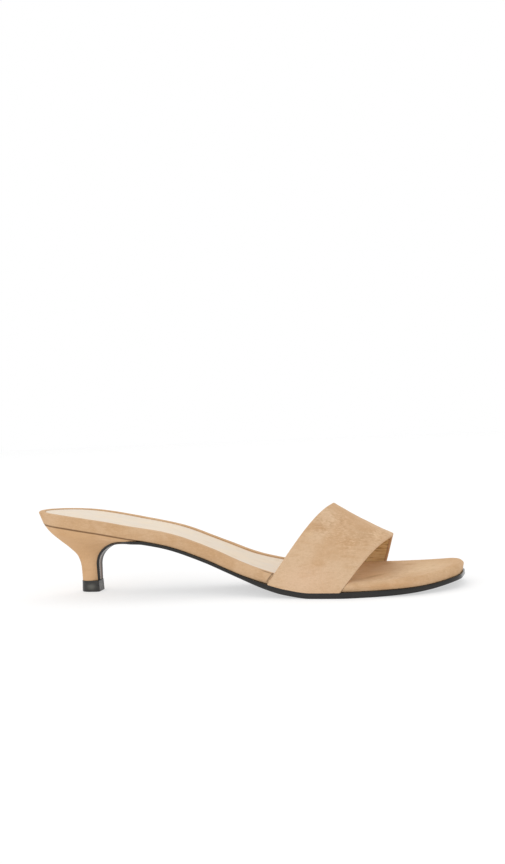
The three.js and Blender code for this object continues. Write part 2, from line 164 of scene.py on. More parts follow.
PROFILE = rows(
    "along heel toe",
    (0.0, 1.0, 0.0),
    (0.08, 0.96, 0.0),
    (0.15, 0.896, 0.0),
    (0.233, 0.792, 0.0),
    (0.329, 0.667, 0.0),
    (0.426, 0.441, 0.0),
    (0.51, 0.226, 0.0),
    (0.582, 0.1, 0.0),
    (0.625, 0.042, 0.0),
    (0.68, 0.0, 0.0),
    (0.765, 0.0, 0.0),
    (0.855, 0.0, 0.11),
    (0.93, 0.0, 0.37),
    (1.0, 0.0, 1.0),
)
WALL = rows(
    "along height edge sole",
    (0.0, SEAT_THICKNESS, SEAT_EDGE_RADIUS, WAIST_SOLE_THICKNESS),
    (0.3, 0.97 * SEAT_THICKNESS, SEAT_EDGE_RADIUS, WAIST_SOLE_THICKNESS),
    (0.48, WAIST_THICKNESS, SEAT_EDGE_RADIUS, WAIST_SOLE_THICKNESS),
    (0.62, 0.92 * WAIST_THICKNESS, 0.7 * TOE_EDGE_RADIUS, SOLE_THICKNESS),
    (0.8, BALL_THICKNESS, TOE_EDGE_RADIUS, SOLE_THICKNESS),
    (1.0, TOE_THICKNESS, TOE_EDGE_RADIUS, TOE_SOLE_THICKNESS),
)
RIM = rows(
    "along undercut rim",
    (0.0, BACK_UNDERCUT, BACK_RIM),
    (0.06, 0.7 * BACK_UNDERCUT, BACK_RIM),
    (0.16, 1.5 * SIDE_UNDERCUT, SIDE_RIM),
    (0.36, SIDE_UNDERCUT, SIDE_RIM),
    (1.0, SIDE_UNDERCUT, SIDE_RIM),
)
FLAP = rows(
    "along flare thickness",
    (0.0, 1.0, WAIST_SOLE_THICKNESS),
    (0.12, 0.95, WAIST_SOLE_THICKNESS),
    (0.23, 0.8, FLAP_THICKNESS),
    (0.36, 0.5, FLAP_THICKNESS),
    (0.48, 0.26, FLAP_THICKNESS),
    (0.6, 0.11, FLAP_THICKNESS),
    (0.75, 0.045, FLAP_THICKNESS),
    (1.0, 0.0, FLAP_THICKNESS),
)
HEEL = rows(
    "along rise back flap spread",
    (0.0, 0.0, 0.0, 1.0, 0.0),
    (0.2, 0.229, 0.01, 0.83, 0.01),
    (0.35, 0.415, 0.088, 0.7, 0.1),
    (0.5, 0.582, 0.325, 0.59, 0.29),
    (0.65, 0.712, 0.57, 0.48, 0.51),
    (0.85, 0.878, 0.845, 0.32, 0.83),
    (1.0, 1.0, 1.0, 0.05, 1.0),
)
STRAP = rows(
    "along lateral medial crown lean squareness",
    (0.0, 0.5775, 0.625, 0.71, 1.42, 2.3),
    (1.0, 0.747, 0.802, 0.8455, 1.23, 2.39),
)

# Rear face of the flap, as shares of the heel's height and of the run back to the breast
BREAST_BEND = 0.375
BREAST_LOWER_HANDLE = 0.28
BREAST_SHOULDER_BACK = 0.61
BREAST_SHOULDER_RISE = 0.025

# Sections of the heel and lift
BACK_TURN = 0.5
HEEL_FRONT_TURN = 3
LIFT_FRONT_TURN = 8
LIFT_CORNER = 0.16

# Squareness of the round ends of the plan
HEEL_ROUNDNESS = 2.05
TOE_ENDS = {"lateral": (LATERAL_TOE_CORNER, 2.6), "medial": (MEDIAL_TOE_CORNER, 4)}
SIGNS = {"lateral": -1, "medial": 1}


def follow(table, column, along):
    """Smooth value of a column at places along it, with no overshoot between its rows"""
    knots = table["along"]
    values = table[column]
    place = np.clip(along, knots[0], knots[-1])
    i = np.clip(np.searchsorted(knots, place) - 1, 0, len(knots) - 2)
    slope = np.diff(values) / np.diff(knots)
    before, after = slope[:-1], slope[1:]
    product = before * after
    total = np.where(before + after == 0, 1, before + after)
    inner = np.where(product <= 0, 0, 2 * product / total)
    tangent = np.concatenate([slope[:1], inner, slope[-1:]])
    span = knots[i + 1] - knots[i]
    t = (place - knots[i]) / span
    rise = t * t * (3 - 2 * t)
    bend = span * t * (1 - t) * (tangent[i] * (1 - t) - tangent[i + 1] * t)
    return values[i] * (1 - rise) + values[i + 1] * rise + bend


def lerp(a, b, share):
    return a + (b - a) * share


def smoothstep(value, low, high):
    share = np.clip((value - low) / (high - low), 0, 1)
    return share * share * (3 - 2 * share)


def unit(vectors):
    return vectors / np.maximum(np.linalg.norm(vectors, axis=-1, keepdims=True), 1e-12)


def along_of(x):
    return np.asarray(x, float) / FOOTBED_LENGTH


def half_width(x, side):
    return follow(PLAN, side, along_of(x))


def wall_height(x):
    return follow(WALL, "height", along_of(x))


BALL_UNDERSIDE = SOLE_THICKNESS + GAP


def underside(x):
    """Height of the footbed's underside over the floor"""
    along = along_of(x)
    heel_rise = follow(PROFILE, "heel", along) * (HEEL_HEIGHT - BALL_UNDERSIDE)
    return BALL_UNDERSIDE + heel_rise + follow(PROFILE, "toe", along) * TOE_SPRING


def on_profile(x, y, height):
    """Point at a height square to the underside"""
    step = 0.002 * FOOTBED_LENGTH
    inside = np.clip(x, 0, FOOTBED_LENGTH)
    slope = (underside(inside + step) - underside(inside - step)) / (2 * step)
    length = np.hypot(slope, 1)
    return np.stack(
        np.broadcast_arrays(x - slope / length * height, y, underside(x) + height / length), axis=-1
    )


def round_ends(x, side):
    """Share of the half width that the round ends of the plan leave at a place"""
    reach, roundness = TOE_ENDS[side]

    def cap(run, power):
        return (1 - np.clip(1 - run, 0, 1) ** power) ** (1 / power)

    return cap(x / HEEL_END, HEEL_ROUNDNESS) * cap((FOOTBED_LENGTH - x) / reach, roundness)


def stations(start, end, extra=(), plain_step=1.3, heel_steps=26, toe_steps=24):
    """Places of the sections between two places, closer together on the round ends"""
    reach, roundness = TOE_ENDS["medial"]
    heel_turns = np.linspace(0, math.pi / 2, heel_steps, endpoint=False)
    toe_turns = np.linspace(0, math.pi / 2, toe_steps, endpoint=False)
    heel_places = HEEL_END * (1 - np.cos(heel_turns) ** (2 / HEEL_ROUNDNESS))
    toe_places = FOOTBED_LENGTH - reach * (1 - np.cos(toe_turns) ** (2 / roundness))
    plain = FOOTBED_LENGTH - HEEL_END - reach
    plain_places = HEEL_END + np.linspace(0, plain, round(plain / plain_step) + 1)
    places = np.concatenate([heel_places, plain_places, toe_places])
    keep = (places >= start) & (places <= end)
    for place in extra:
        keep &= np.abs(places - place) > plain_step / 4
    return np.sort(np.concatenate([places[keep], extra]))


def plan_side(places, side):
    """Plan points and outward normals of one side at each station"""
    sign = SIGNS[side]
    y = sign * round_ends(places, side) * half_width(places, side)
    skew = TOE_SKEW * smoothstep(along_of(places), TOE_SKEW_FROM, 1) * 2 * y / TOE_WIDTH
    points = np.stack([places + skew, y], axis=-1)
    run = np.gradient(points, axis=0)
    normals = unit(np.stack([-run[:, 1] * sign, run[:, 0] * sign], axis=-1))
    ends = np.abs(y) < 1e-9
    ahead = np.where(places < FOOTBED_LENGTH / 2, -1.0, 1.0)
    normals[ends] = np.stack([ahead, np.zeros_like(ahead)], axis=-1)[ends]
    return points, normals


def plate(places, rings, reach=None, top_columns=0, top_height=None):
    """Loops across the shoe. A ring is an inset from the plan and a height over the underside, and
    the top between its last rings is filled with columns at the heights that top_height gives."""
    loops = {}
    for side in SIGNS:
        points, normals = plan_side(places, side)
        extra = 0 if reach is None else reach(places, side)
        flat = []
        for inset, height in rings:
            moved = points - normals * np.broadcast_to(inset(places) - extra, places.shape)[:, None]
            lift = np.broadcast_to(height(places), places.shape)
            flat.append(np.column_stack([moved, lift]))
        loops[side] = flat
    shares = np.linspace(0, 1, top_columns + 2)[1:-1]
    lateral, medial = loops["lateral"][-1], loops["medial"][-1]
    middle = []
    for share in shares:
        between = lerp(lateral, medial, share)
        between[:, 2] = top_height(places, share)
        middle.append(between)
    flat = np.stack(loops["lateral"] + middle + loops["medial"][::-1], axis=1)
    return on_profile(flat[..., 0], flat[..., 1], flat[..., 2])


SHIFT = np.zeros(3)
HEIGHT_NAME = "height_over_underside"


def add_object(name, data):
    """Puts a mesh, lamp or camera into the scene"""
    made = bpy.data.objects.new(name, data)
    bpy.context.scene.collection.objects.link(made)
    return made


def mesh_from(name, loops, smooth_angle=40, caps=(False, False), relief=None):
    """Mesh object through a row of closed loops, in metres and at the part's origin"""
    loops = np.asarray(loops)
    count = loops.shape[1]
    bm = bmesh.new()
    grid = [[bm.verts.new(Vector((point + SHIFT) * MM)) for point in loop] for loop in loops]
    for first, second in zip(grid, grid[1:]):
        for k in range(count):
            after = (k + 1) % count
            bm.faces.new((first[k], first[after], second[after], second[k]))
    for wanted, loop in zip(caps, (grid[0], grid[-1])):
        if wanted:
            for k in range(count // 2 - 1):
                bm.faces.new((loop[k], loop[k + 1], loop[count - 2 - k], loop[count - 1 - k]))
    return finish_mesh(name, bm, smooth_angle, relief)


# Distances in metres under which vertices are one and an edge has no length
SAME_PLACE = 1e-6
NO_LENGTH = 1e-7


def finish_mesh(name, bm, smooth_angle, relief):
    """Cleans a mesh, turns its faces out, adds its low relief and makes its object"""
    bmesh.ops.remove_doubles(bm, verts=bm.verts, dist=SAME_PLACE)
    bmesh.ops.dissolve_degenerate(bm, edges=bm.edges, dist=NO_LENGTH)
    loose = [v for v in bm.verts if not v.link_faces]
    bmesh.ops.delete(bm, geom=loose, context="VERTS")
    bmesh.ops.recalc_face_normals(bm, faces=bm.faces)
    if bm.calc_volume(signed=True) < 0:
        bmesh.ops.reverse_faces(bm, faces=bm.faces)
    bm.normal_update()
    if relief is not None:
        moves = [(v, v.normal * relief(np.array(v.co) / MM - SHIFT, v.normal) * MM) for v in bm.verts]
        for vert, move in moves:
            vert.co += move
        bm.normal_update()
    limit = math.radians(smooth_angle)
    for face in bm.faces:
        face.smooth = True
    for edge in bm.edges:
        edge.smooth = len(edge.link_faces) == 2 and edge.calc_face_angle(0) < limit
    mesh = bpy.data.meshes.new(name)
    bm.to_mesh(mesh)
    bm.free()
    return add_object(name, mesh)


def dress(piece, material, node):
    """Gives a piece its finish and its heights over the underside, hangs it on the root body and hides
    the solid that it stands for"""
    spots = np.empty(len(piece.data.vertices) * 3)
    piece.data.vertices.foreach_get("co", spots)
    spots = spots.reshape(-1, 3) / MM - SHIFT
    heights = piece.data.attributes.new(HEIGHT_NAME, "FLOAT", "POINT")
    heights.data.foreach_set("value", spots[:, 2] - underside(np.clip(spots[:, 0], 0, FOOTBED_LENGTH)))
    piece.data.materials.clear()
    piece.data.materials.append(material)
    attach(piece, "root")
    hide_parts(node)


def waver(point, size, seed=0.0):
    """Soft unevenness between about -1 and 1, with lumps of a size in mm"""
    x, y, z = point
    return noise.noise(Vector((x / size + seed, y / size - seed, z / size + 2 * seed)))


def wavers(points, size, seed=0.0):
    """Soft unevenness at each of a grid of points"""
    return np.apply_along_axis(waver, -1, points, size, seed)


# Camera
def place_camera():
    yaw, elevation, roll = (math.radians(a) for a in (CAMERA_YAW, CAMERA_ELEVATION, CAMERA_ROLL))
    back = Vector((
        math.sin(yaw) * math.cos(elevation),
        -math.cos(yaw) * math.cos(elevation),
        math.sin(elevation),
    ))
    right = (-back).cross(Vector((0, 0, 1))).normalized()
    up = right.cross(-back)
    facing = Matrix((right, up, back)).transposed() @ Matrix.Rotation(roll, 3, "Z")
    width, height = IMAGE_SIZE
    aim = Vector((
        (AIM_PIXEL[0] - width / 2) / FOCAL_PIXELS,
        (height / 2 - AIM_PIXEL[1]) / FOCAL_PIXELS,
        -1,
    )).normalized()
    lean = Vector((0, 0, -1)).rotation_difference(aim).to_matrix()
    position = (Vector(CAMERA_TARGET) + Vector(SHIFT) + back * CAMERA_DISTANCE) * MM
    data = bpy.data.cameras.new("camera")
    data.sensor_fit = "VERTICAL"
    data.sensor_height = SENSOR_HEIGHT
    data.lens = FOCAL_PIXELS / height * SENSOR_HEIGHT
    data.clip_start = 0.01
    camera = add_object("camera", data)
    camera.matrix_world = Matrix.Translation(position) @ (facing @ lean.transposed()).to_4x4()
    bpy.context.scene.camera = camera


def lift_front(flare):
    """Place of the lift's front face, which flares out towards the floor"""
    return BREAST_FROM_BACK + FLAP_THICKNESS - LIFT_MARGIN + flare


# Shift from the shoe's own frame to the part's origin, read from the solid of the top lift
lift_low, lift_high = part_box("top_lift")
SHIFT[0] = lift_high.x / MM - lift_front(LIFT_FLARE)
SHIFT[1] = (lift_low.y + lift_high.y) / 2 / MM
place_camera()


# Node helpers
def srgb(red, green, blue):
    """Linear colour from the eight-bit values that a picture shows"""
    def linear(value):
        value /= 255
        return value / 12.92 if value <= 0.04045 else ((value + 0.055) / 1.055) ** 2.4

    return (linear(red), linear(green), linear(blue), 1.0)


# Sockets of the mix node that hold colours
MIX_FIRST = 6
MIX_SECOND = 7
MIX_RESULT = 2


class Look:
    """Material under construction: a principled shader and the textures that feed it"""

    def __init__(self, name, **settings):
        self.material = bpy.data.materials.new(name)
        self.material.use_nodes = True
        self.tree = self.material.node_tree
        self.shader = self.tree.nodes["Principled BSDF"]
        self.place = self.tree.nodes.new("ShaderNodeTexCoord").outputs["Object"]
        for socket, value in settings.items():
            self.shader.inputs[socket.replace("_", " ")].default_value = value

    def join(self, source, socket):
        """Links an output to a socket, or sets the socket where the source is a plain value"""
        if isinstance(source, bpy.types.NodeSocket):
            self.tree.links.new(source, socket)
        else:
            socket.default_value = source

    def node(self, kind, sources, **settings):
        """New node with its settings, and its inputs joined to their sources by name or number"""
        made = self.tree.nodes.new(kind)
        for key, value in settings.items():
            setattr(made, key, value)
        for socket, source in sources.items():
            self.join(source, made.inputs[socket])
        return made

    def finish(self, colour, roughness, relief):
        """Links the colour, the roughness and the relief to the shader, and gives the material"""
        sources = {"Base Color": colour, "Roughness": roughness, "Normal": relief}
        for socket, source in sources.items():
            self.join(source, self.shader.inputs[socket])
        return self.material

    def noise(self, size, stretch=(1, 1, 1), detail=3.0, roughness=0.55, distortion=0.0):
        """Noise with lumps of about a size in mm, drawn out along the axes"""
        scale = [1 / (size * MM * s) for s in stretch]
        scaled = self.node("ShaderNodeMapping", {"Vector": self.place, "Scale": scale})
        sources = {
            "Vector": scaled.outputs[0], "Scale": 1.0, "Detail": detail,
            "Roughness": roughness, "Distortion": distortion,
        }
        return self.node("ShaderNodeTexNoise", sources).outputs["Fac"]

    def band(self, value, low, high, to_low=0.0, to_high=1.0):
        """Value spread smoothly from one range to another"""
        sources = {
            "Value": value, "From Min": low, "From Max": high, "To Min": to_low, "To Max": to_high,
        }
        return self.node("ShaderNodeMapRange", sources, interpolation_type="SMOOTHSTEP").outputs[0]

    def maths(self, operation, first, second):
        return self.node("ShaderNodeMath", {0: first, 1: second}, operation=operation).outputs[0]

    def mix(self, factor, first, second):
        """Colour between two colours"""
        sources = {"Factor": factor, MIX_FIRST: first, MIX_SECOND: second}
        return self.node("ShaderNodeMix", sources, data_type="RGBA").outputs[MIX_RESULT]

    def spot(self, centre, radii, turn=0.0, tilt=0.0):
        """Soft spot: 1 at a centre in the shoe's frame, falling to 0 at its radii in mm"""
        origin = [(c + s) * MM for c, s in zip(centre, SHIFT)]
        rotation = (0, math.radians(tilt), math.radians(turn))
        scale = [1 / (r * MM) for r in radii]
        moved = self.node("ShaderNodeVectorMath", {0: self.place, 1: origin}, operation="SUBTRACT")
        turned = self.node("ShaderNodeMapping", {"Vector": moved.outputs[0], "Rotation": rotation})
        scaled = self.node("ShaderNodeMapping", {"Vector": turned.outputs[0], "Scale": scale})
        length = self.node("ShaderNodeVectorMath", {0: scaled.outputs[0]}, operation="LENGTH")
        return self.band(length.outputs["Value"], 1.0, 0.0)

    def marked(self, colour, marks):
        """Colour with listed marks"""
        for centre, radii, shade, strength, *angles in marks:
            spot = self.spot(centre, radii, *angles)
            colour = self.mix(self.maths("MULTIPLY", spot, strength), colour, shade)
        return colour

    def bump(self, height, distance, strength=1.0, under=None):
        """Relief of a depth in mm, laid over another"""
        sources = {"Height": height, "Distance": distance * MM, "Strength": strength}
        if under is not None:
            sources["Normal"] = under
        return self.node("ShaderNodeBump", sources).outputs["Normal"]


# Suede: the painted shadow along its seam at the heel fades out between two places along the shoe
SEAM_PAINTED_SHADOW = srgb(96, 64, 38)
SEAM_SHADOW_STRENGTH = 0.72
SEAM_SHADOW_FADE = (66, 78)
NAP_SHADE = srgb(120, 88, 58)
RIPPLES_EVERYWHERE = 0.3
RIPPLE_LIGHT = srgb(234, 204, 170)
RIPPLE_DARK = srgb(176, 137, 98)


def suede(name, tone, pale, deep, marks=(), seam_shadow_heights=None, ripples=()):
    """Napped leather: clouds of two tones, brushed streaks, fine nap, listed marks, ripples in
    soft spots, and painted shadow along the heel's seam between two heights over the footbed's underside"""
    look = Look(
        name,
        Roughness=0.93,
        Specular_IOR_Level=0.12,
        Sheen_Weight=0.22,
        Sheen_Roughness=0.45,
        Sheen_Tint=srgb(244, 214, 180),
    )
    clouds = look.noise(26, detail=4, distortion=0.6)
    patches = look.noise(7, stretch=(1.6, 1, 1), detail=4, roughness=0.6)
    streaks = look.noise(3.2, stretch=(6, 1, 1), detail=3, roughness=0.6)
    nap = look.noise(0.7, detail=3, roughness=0.65)
    colour = look.mix(look.band(clouds, 0.38, 0.62), tone, pale)
    colour = look.mix(look.band(patches, 0.5, 0.72, 0, 0.4), colour, deep)
    colour = look.mix(look.band(streaks, 0.52, 0.7, 0, 0.35), colour, deep)
    colour = look.mix(look.band(streaks, 0.46, 0.3, 0, 0.3), colour, pale)
    colour = look.marked(colour, marks)
    colour = look.mix(look.band(nap, 0.3, 0.7, 0.1, 0), colour, NAP_SHADE)
    # Painted shadow along the seam between the heel and the footbed, between two heights over the
    # underside
    if seam_shadow_heights is not None:
        height = look.node("ShaderNodeAttribute", {}, attribute_name=HEIGHT_NAME).outputs["Fac"]
        along = look.node("ShaderNodeSeparateXYZ", {"Vector": look.place}).outputs["X"]
        ends = [(place + SHIFT[0]) * MM for place in SEAM_SHADOW_FADE]
        shadow_near_heel = look.band(along, *ends, SEAM_SHADOW_STRENGTH, 0)
        shade = look.maths("MULTIPLY", look.band(height, *seam_shadow_heights), shadow_near_heel)
        colour = look.mix(shade, colour, SEAM_PAINTED_SHADOW)
    if ripples:
        rippled = RIPPLES_EVERYWHERE
        for centre, radii in ripples:
            rippled = look.maths("MAXIMUM", rippled, look.spot(centre, radii))
        waves = look.noise(0.9, stretch=(2.4, 1.8, 1), detail=2, distortion=0.5)
        light = look.maths("MULTIPLY", look.band(waves, 0.5, 0.68), rippled)
        dark = look.maths("MULTIPLY", look.band(waves, 0.48, 0.3), rippled)
        colour = look.mix(look.maths("MULTIPLY", light, 0.42), colour, RIPPLE_LIGHT)
        colour = look.mix(look.maths("MULTIPLY", dark, 0.5), colour, RIPPLE_DARK)
    lumps = look.bump(patches, 0.25, 0.35)
    brushed = look.bump(streaks, 0.12, 0.4, under=lumps)
    relief = look.bump(nap, 0.12, 0.55, under=brushed)
    return look.finish(colour, look.band(patches, 0.3, 0.7, 0.97, 0.86), relief)


def sock_leather():
    look = Look("sock_leather", Specular_IOR_Level=0.35)
    clouds = look.noise(18, detail=3, distortion=0.4)
    rub = look.noise(5, stretch=(2.5, 1, 1), detail=4)
    grain = look.noise(0.55, detail=2, roughness=0.5)
    colour = look.mix(look.band(clouds, 0.35, 0.65), srgb(234, 217, 194), srgb(229, 215, 197))
    colour = look.mix(look.band(rub, 0.52, 0.75, 0, 0.35), colour, srgb(220, 200, 172))
    return look.finish(colour, look.band(rub, 0.3, 0.7, 0.5, 0.62), look.bump(grain, 0.04, 0.4))


# Where the painted shade and light along the lining's folds show most, as centre and radii in mm, and
# their strength elsewhere
LINING_FOLD_SHADING_SPOT = ((204, 36, 22), (44, 34, 36))
LINING_FOLD_SHADING_ELSEWHERE = 0.22


def lining_leather():
    look = Look("lining_leather", Specular_IOR_Level=0.35)
    clouds = look.noise(12, detail=3)
    folds = look.noise(1.1, stretch=(12, 1, 1), detail=2, distortion=0.3)
    grain = look.noise(0.4, detail=2)
    colour = look.mix(look.band(clouds, 0.35, 0.65), srgb(236, 208, 158), srgb(224, 194, 142))
    # Painted shade and painted light in stripes along the lining's folds
    fold_shading = look.maths("MAXIMUM", look.spot(*LINING_FOLD_SHADING_SPOT), LINING_FOLD_SHADING_ELSEWHERE)
    dark = look.maths("MULTIPLY", look.band(folds, 0.5, 0.64, 0, 0.66), fold_shading)
    light = look.maths("MULTIPLY", look.band(folds, 0.46, 0.34, 0, 0.5), fold_shading)
    colour = look.mix(dark, colour, srgb(164, 130, 86))
    colour = look.mix(light, colour, srgb(248, 228, 188))
    relief = look.bump(grain, 0.04, 0.4, under=look.bump(folds, 0.35, 0.6))
    return look.finish(colour, look.band(clouds, 0.3, 0.7, 0.55, 0.68), relief)


def painted_sole(marks):
    look = Look("painted_sole", Specular_IOR_Level=0.42, Coat_Weight=0.08, Coat_Roughness=0.2)
    scuffs = look.noise(2.2, stretch=(5, 1, 1), detail=5, roughness=0.65)
    clouds = look.noise(14, detail=3)
    grain = look.noise(0.5, detail=2)
    colour = look.mix(look.band(clouds, 0.3, 0.7), srgb(15, 12, 10), srgb(25, 21, 17))
    roughness = look.band(scuffs, 0.35, 0.75, 0.16, 0.3)
    return look.finish(look.marked(colour, marks), roughness, look.bump(grain, 0.02, 0.35))


def lift_rubber(marks):
    look = Look("lift_rubber", Specular_IOR_Level=0.5)
    scuffs = look.noise(1.5, stretch=(3, 3, 1), detail=4)
    grain = look.noise(0.35, detail=2)
    colour = look.mix(look.band(scuffs, 0.3, 0.7), srgb(28, 27, 26), srgb(44, 43, 40))
    roughness = look.band(scuffs, 0.3, 0.7, 0.26, 0.4)
    return look.finish(look.marked(colour, marks), roughness, look.bump(grain, 0.025, 0.4))


# Footbed
POCKET_END = SOCK_LENGTH + GAP
POCKET_RAMP = SOCK_THICKNESS


def sock_recess(x):
    return lerp(SEAT_RECESS, WAIST_RECESS, np.minimum(x, SOCK_LENGTH) / SOCK_LENGTH)


def pocket_depth(x):
    share = 1 - np.clip((x - POCKET_END) / POCKET_RAMP, 0, 1)
    return share * (sock_recess(x) + SOCK_THICKNESS + GAP)


def rim_width(x):
    return follow(RIM, "rim", along_of(x))


def undercut(x):
    return follow(RIM, "undercut", along_of(x))


def edge_radius(x):
    return follow(WALL, "edge", along_of(x))


# Soft dish that the toes press into the forefoot, and the run over which it deepens
TOE_DISH = 0.35
TOE_DISH_EASE = 20

# How far the pocket's edge is eased and its wall leans, and how deep the strap's cut goes
POCKET_EASE = 0.12
POCKET_LEAN = 0.05
CUT_BELOW = 3


def footbed_rings():
    """Insets and heights up the wall, over its round edge, across the rim and down the pocket"""
    rings = []
    for turn in np.radians(np.linspace(0, 90, 5)):
        rings.append((
            lambda x, t=turn: undercut(x) + BOTTOM_EDGE_RADIUS * (1 - math.sin(t)),
            lambda x, t=turn: 0 * x + BOTTOM_EDGE_RADIUS * (1 - math.cos(t)),
        ))
    for share in (0.25, 0.5, 0.75):
        rings.append((
            lambda x, s=share: undercut(x) * (1 - s),
            lambda x, s=share: lerp(BOTTOM_EDGE_RADIUS, wall_height(x) - edge_radius(x), s),
        ))
    for turn in np.radians(np.linspace(0, 90, 9)):
        rings.append((
            lambda x, t=turn: edge_radius(x) * (1 - math.cos(t)),
            lambda x, t=turn: wall_height(x) - edge_radius(x) * (1 - math.sin(t)),
        ))
    for share in (0.35, 0.7, 0.92):
        rings.append((
            lambda x, s=share: lerp(np.minimum(edge_radius(x), rim_width(x)), rim_width(x), s),
            wall_height,
        ))
    rings.append((rim_width, lambda x: wall_height(x) - np.minimum(POCKET_EASE, pocket_depth(x))))
    rings.append((lambda x: rim_width(x) + POCKET_LEAN, lambda x: wall_height(x) - pocket_depth(x)))
    return rings


def forefoot_height(x, share):
    dish = TOE_DISH * np.sin(math.pi * share) ** 2
    ahead = smoothstep(x, POCKET_END + POCKET_RAMP, POCKET_END + TOE_DISH_EASE)
    return wall_height(x) - pocket_depth(x) - dish * ahead


def suede_relief(height, seed):
    """Slight unevenness of leather pulled over a board: broad lumps and finer, lower ones"""
    def relief(point, _normal):
        return height * (waver(point, 16, seed) + 0.45 * waver(point, 5, seed + 3))

    return relief


def make_footbed(material):
    """Footbed with the strap's feet let into its wall"""
    places = stations(0, FOOTBED_LENGTH, [POCKET_END, POCKET_END + POCKET_RAMP])
    loops = plate(places, footbed_rings(), top_columns=34, top_height=forefoot_height)
    piece = mesh_from("footbed_suede", loops, relief=suede_relief(0.09, 4.1))
    cutter = strap_cutter()
    cut = piece.modifiers.new("strap_feet", "BOOLEAN")
    cut.operation = "DIFFERENCE"
    cut.solver = "EXACT"
    cut.object = cutter
    bpy.context.view_layer.update()
    shown = piece.evaluated_get(bpy.context.evaluated_depsgraph_get())
    notched = bpy.data.meshes.new_from_object(shown)
    piece.modifiers.clear()
    piece.data = notched
    bpy.data.objects.remove(cutter)
    dress(piece, material, "footbed")


# Sock: its round edge, the crown of its middle and its slight unevenness
SOCK_EDGE = 0.35
SOCK_CROWN = 0.12
SOCK_CROWN_FULLNESS = 0.7
SOCK_LUMP_HEIGHT = 0.05


def make_sock(material):
    def inset(x):
        return rim_width(x) + SEAM

    def top(x):
        return wall_height(x) - sock_recess(x)

    rings = [(inset, lambda x: top(x) - SOCK_THICKNESS)]
    for turn in np.radians(np.linspace(0, 90, 6)):
        rings.append((
            lambda x, t=turn: inset(x) + SOCK_EDGE * (1 - math.cos(t)),
            lambda x, t=turn: top(x) - SOCK_EDGE * (1 - math.sin(t)),
        ))

    def top_height(x, share):
        return top(x) + SOCK_CROWN * np.sin(math.pi * share) ** SOCK_CROWN_FULLNESS

    places = stations(0, SOCK_LENGTH, [SOCK_LENGTH])
    loops = plate(places, rings, top_columns=26, top_height=top_height)

    def relief(point, normal):
        return SOCK_LUMP_HEIGHT * waver(point, 22, 8.0) if normal.z > 0.5 else 0.0

    piece = mesh_from("sock_leather", loops, caps=(False, True), relief=relief)
    dress(piece, material, "sock")


# Outsole with its flap
TIP_FLOOR = LIFT_HEIGHT + GAP
BREAST_CURVE_STEPS = 400
BREAST_STRAIGHT_STEPS = 120
FLAP_SECTIONS = 90


def flap_curve():
    """Points down the flap's rear face, and their shares of its length"""
    top = on_profile(np.array(float(FLAP_START)), 0.0, -GAP)[[0, 2]]
    bend = np.array([BREAST_FROM_BACK, BREAST_BEND * HEEL_HEIGHT])
    shoulder = np.array([
        lerp(top[0], BREAST_FROM_BACK, BREAST_SHOULDER_BACK),
        top[1] + BREAST_SHOULDER_RISE * HEEL_HEIGHT,
    ])
    handle = bend + (0, BREAST_LOWER_HANDLE * HEEL_HEIGHT)
    t = np.linspace(0, 1, BREAST_CURVE_STEPS)[:, None]
    curve = (
        (1 - t) ** 3 * top
        + 3 * (1 - t) ** 2 * t * shoulder
        + 3 * (1 - t) * t**2 * handle
        + t**3 * bend
    )
    down = np.linspace(bend[1], TIP_FLOOR, BREAST_STRAIGHT_STEPS + 1)[1:]
    straight = np.column_stack([np.full_like(down, BREAST_FROM_BACK), down])
    points = np.concatenate([curve, straight])
    steps = np.linalg.norm(np.diff(points, axis=0), axis=1)
    shares = np.concatenate([[0], np.cumsum(steps)])
    return points, shares / shares[-1]


FLAP_POINTS, FLAP_SHARES = flap_curve()


def on_flap(share):
    """Point on the flap's rear face and its normal towards the toe and the floor, as (x, z)"""
    def at(place):
        return np.stack(
            [np.interp(place, FLAP_SHARES, FLAP_POINTS[:, k]) for k in (0, 1)], axis=-1
        )

    step = 0.01
    low, high = np.clip(share - step, 0, 1), np.clip(share + step, 0, 1)
    tangent = unit(at(high) - at(low))
    return at(share), np.stack([-tangent[..., 1], tangent[..., 0]], axis=-1)


def flap_half(share, side):
    foot = FLAP_FOOT_WIDTH / 2
    start = half_width(FLAP_START, side) + SOLE_MARGIN
    return foot + (start - foot) * follow(FLAP, "flare", share)


def sole_reach(x, side):
    """Margin of the sole past the plan: wider where it carries the foot of the strap"""
    rear, front = STRAP[side] * FOOTBED_LENGTH
    share = smoothstep(x, rear - SOLE_EASE, rear) * (1 - smoothstep(x, front, front + SOLE_EASE))
    return SOLE_MARGIN + share * (STRAP_PROUD - SOLE_MARGIN)


# Round upper edge of the sole, and the slight hollow down the front of the flap, with the shares of
# the flap's length between which it deepens
SOLE_ROUND = 0.25
FLAP_HOLLOW = 0.4
FLAP_HOLLOW_GROWS = (0.2, 0.55)
HOLLOW_COLUMNS = 9


def sole_edges(thickness):
    """Insets and depths round the sole's edge, from its upper face to its lower one"""
    upper = [
        (SOLE_ROUND * (1 - math.sin(t)), SOLE_ROUND * (1 - math.cos(t)) + 0 * thickness)
        for t in np.radians(np.linspace(0, 90, 4))
    ]
    lower = [
        (SOLE_BEVEL * (1 - math.cos(t)), thickness - SOLE_BEVEL * (1 - math.sin(t)))
        for t in np.radians(np.linspace(0, 90, 6))
    ]
    return upper + lower


def hollowed(loops, normals, depths):
    """Loops of the sole with columns across its lower face, which sinks between them by a depth"""
    middle = loops.shape[1] // 2
    across = np.linspace(0, 1, HOLLOW_COLUMNS + 2)[1:-1, None]
    sunk = (normals * depths[:, None])[:, None] * (1 - (2 * across - 1) ** 2)
    columns = lerp(loops[:, middle - 1, None], loops[:, middle, None], across) - sunk
    return np.concatenate([loops[:, :middle], columns, loops[:, middle:]], axis=1)


